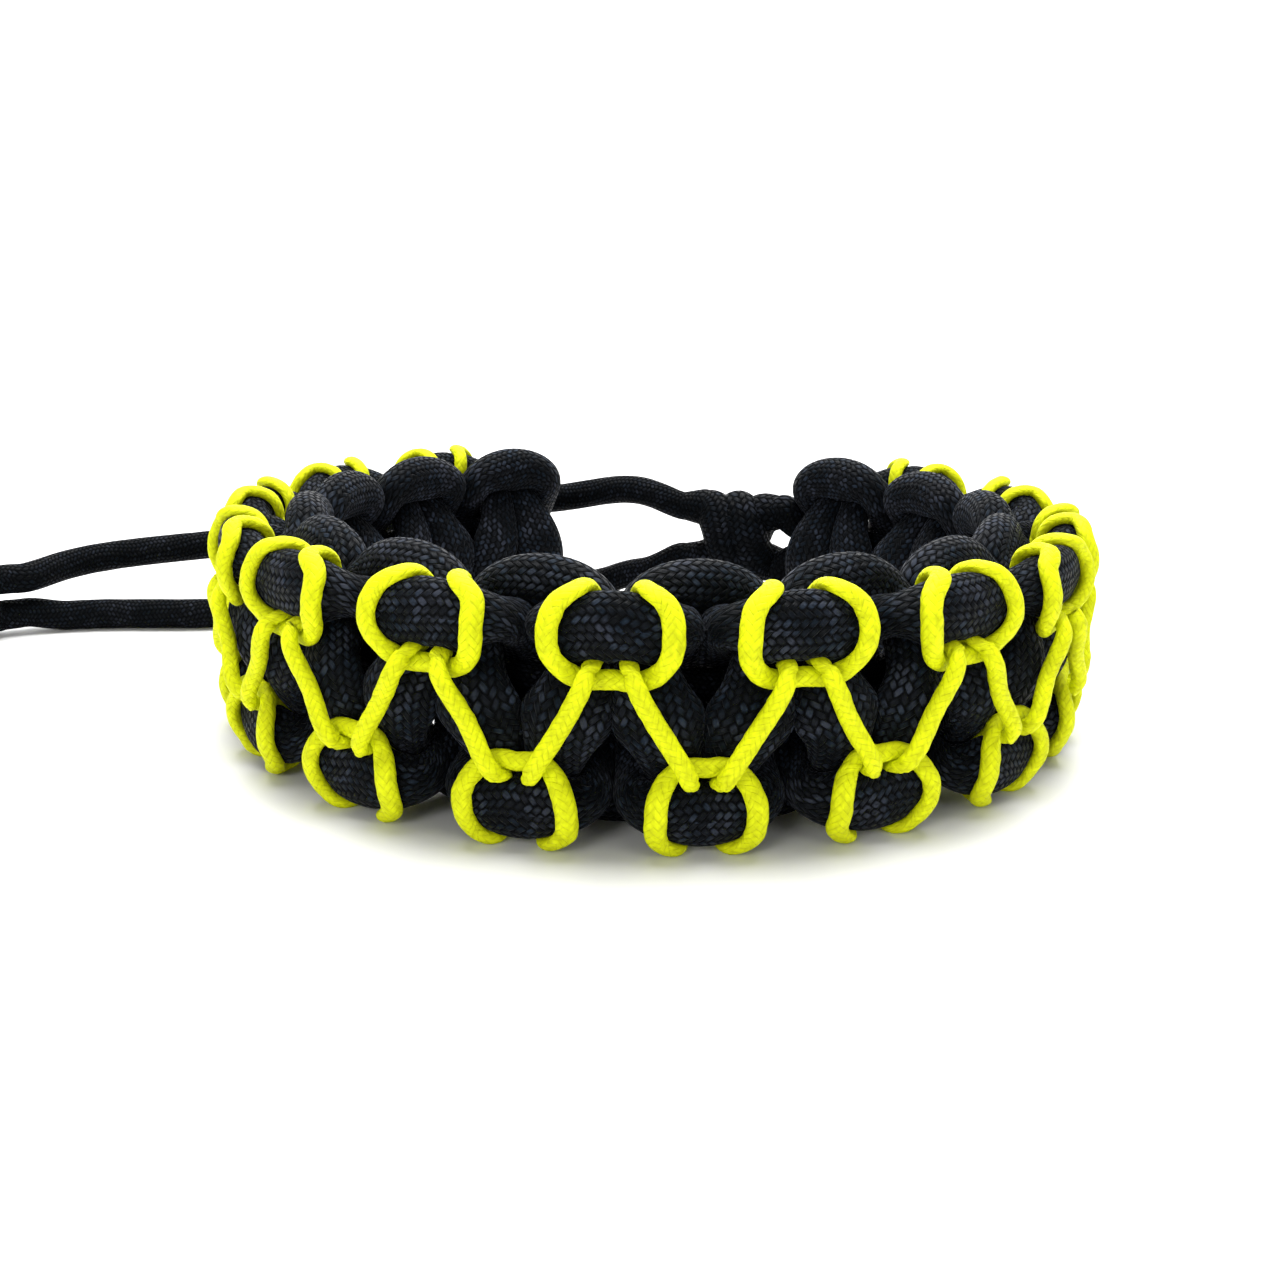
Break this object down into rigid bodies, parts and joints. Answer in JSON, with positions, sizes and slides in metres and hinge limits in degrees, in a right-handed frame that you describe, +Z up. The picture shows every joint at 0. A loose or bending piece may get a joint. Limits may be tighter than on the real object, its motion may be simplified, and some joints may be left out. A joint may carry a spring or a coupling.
{
  "type": "paracord bracelet",
  "caption": "Knotted cord bracelet with neon lacing along both edges, closed by a knot whose two tails run to a stopper knot.",
  "frame": {"origin": "middle of the bracelet's box on the surface that it lies on, without the tails and the stopper knot", "axes": "+Z up along the wrist's way through the ring, +X along the ring's long way to the right as seen from the front, +Y to the back, where the closure is"},
  "size_m": [0.1172, 0.0701, 0.0199],
  "materials": {
    "black_cord": "braided nylon, soft sheen",
    "neon_lacing": "fine braid, slightly waxy"
  },
  "bodies": {
    "root": {"front_weaving_cord": "black_cord", "back_weaving_cord": "black_cord", "core_cord": "black_cord", "lacing_cord": "neon_lacing", "closure_knot": "black_cord", "upper_tail": "black_cord", "lower_tail": "black_cord", "stopper_knot": "black_cord"}
  },
  "joints": []
}
